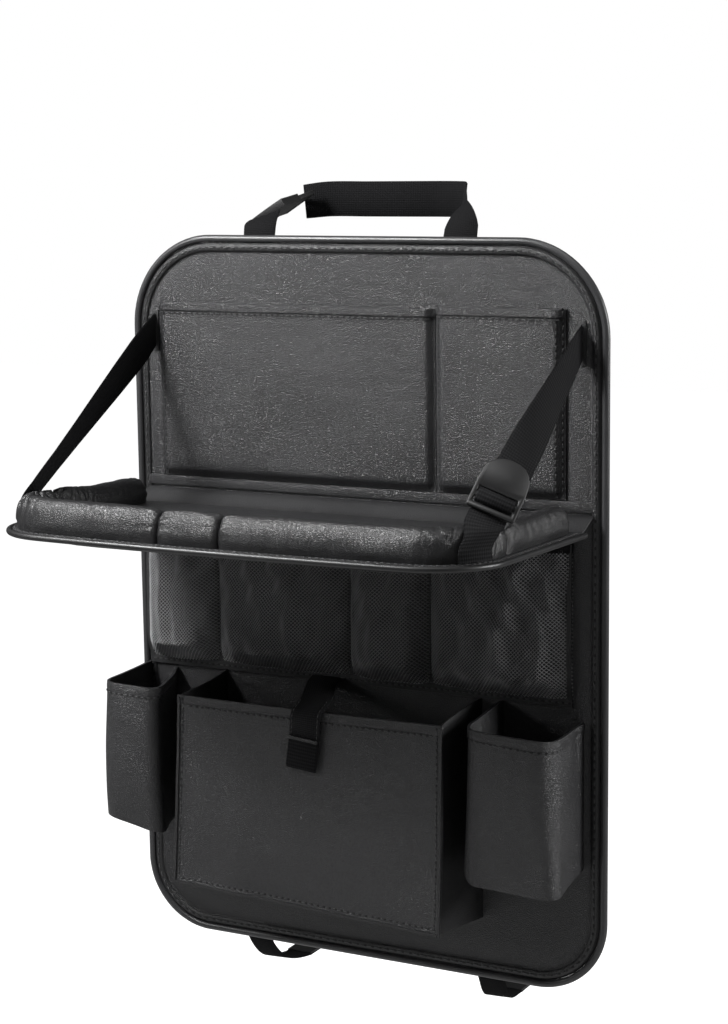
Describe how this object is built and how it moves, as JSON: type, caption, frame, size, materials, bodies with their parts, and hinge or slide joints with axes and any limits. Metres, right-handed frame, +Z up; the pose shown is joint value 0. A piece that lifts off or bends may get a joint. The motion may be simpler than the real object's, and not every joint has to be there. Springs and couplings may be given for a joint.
{
  "type": "car seat back organizer",
  "caption": "Car seat back organizer in black leatherette with flat, mesh and box pockets, headrest straps and a padded fold-out tray on webbing straps.",
  "frame": {"origin": "centre of the panel's flat back face, which lies against the seat", "axes": "+Z up along the panel, +Y into the seat, -Y towards the rear passenger, +X to the passenger's right"},
  "size_m": [0.444, 0.347, 0.6927],
  "materials": {
    "leather": "grained black leatherette, slight sheen",
    "binding": "smooth charcoal leatherette piping",
    "webbing": "ribbed black polypropylene webbing",
    "mesh": "black polyester net",
    "plastic": "black moulded acetal, fine grain"
  },
  "bodies": {
    "panel": {"back_panel": "leather", "upper_pocket": "leather", "phone_pocket": "leather", "box_pocket_front": "leather", "box_pocket_side_left": "leather", "box_pocket_side_right": "leather", "box_pocket_floor": "leather", "cup_pocket_wall": "leather", "cup_pocket_floor": "leather", "tall_pocket_wall": "leather", "tall_pocket_floor": "leather", "tray_hinge_flap": "leather", "hinge_seam_strip": "leather", "edge_binding": "binding", "closure_tab": "webbing", "strap_anchor_left": "webbing", "strap_anchor_right": "webbing", "tray_strap_left": "webbing", "tray_strap_right": "webbing", "headrest_strap_left": "webbing", "headrest_strap_right": "webbing", "fixing_strap_left": "webbing", "fixing_strap_right": "webbing", "mesh_pocket": "mesh", "strap_adjuster": "plastic", "buckle_socket": "plastic", "buckle_plug": "plastic", "fixing_hook_left": "plastic", "fixing_hook_right": "plastic"},
    "tray": {"tray_board": "leather", "tray_piping": "binding", "tray_rim_left": "leather", "tray_roll_left": "leather", "tray_roll_middle": "leather", "tray_roll_right": "leather", "tray_rim_right": "leather", "tray_under_pocket": "leather"}
  },
  "joints": [
    {"name": "tray_fold", "type": "hinge", "parent": "panel", "child": "tray", "pos_m": [0, -0.0345, 0.0815], "axis": [-1, 0, 0], "range_deg": [0, 86], "deforming": ["tray_strap_left", "tray_strap_right", "strap_adjuster"]}
  ]
}
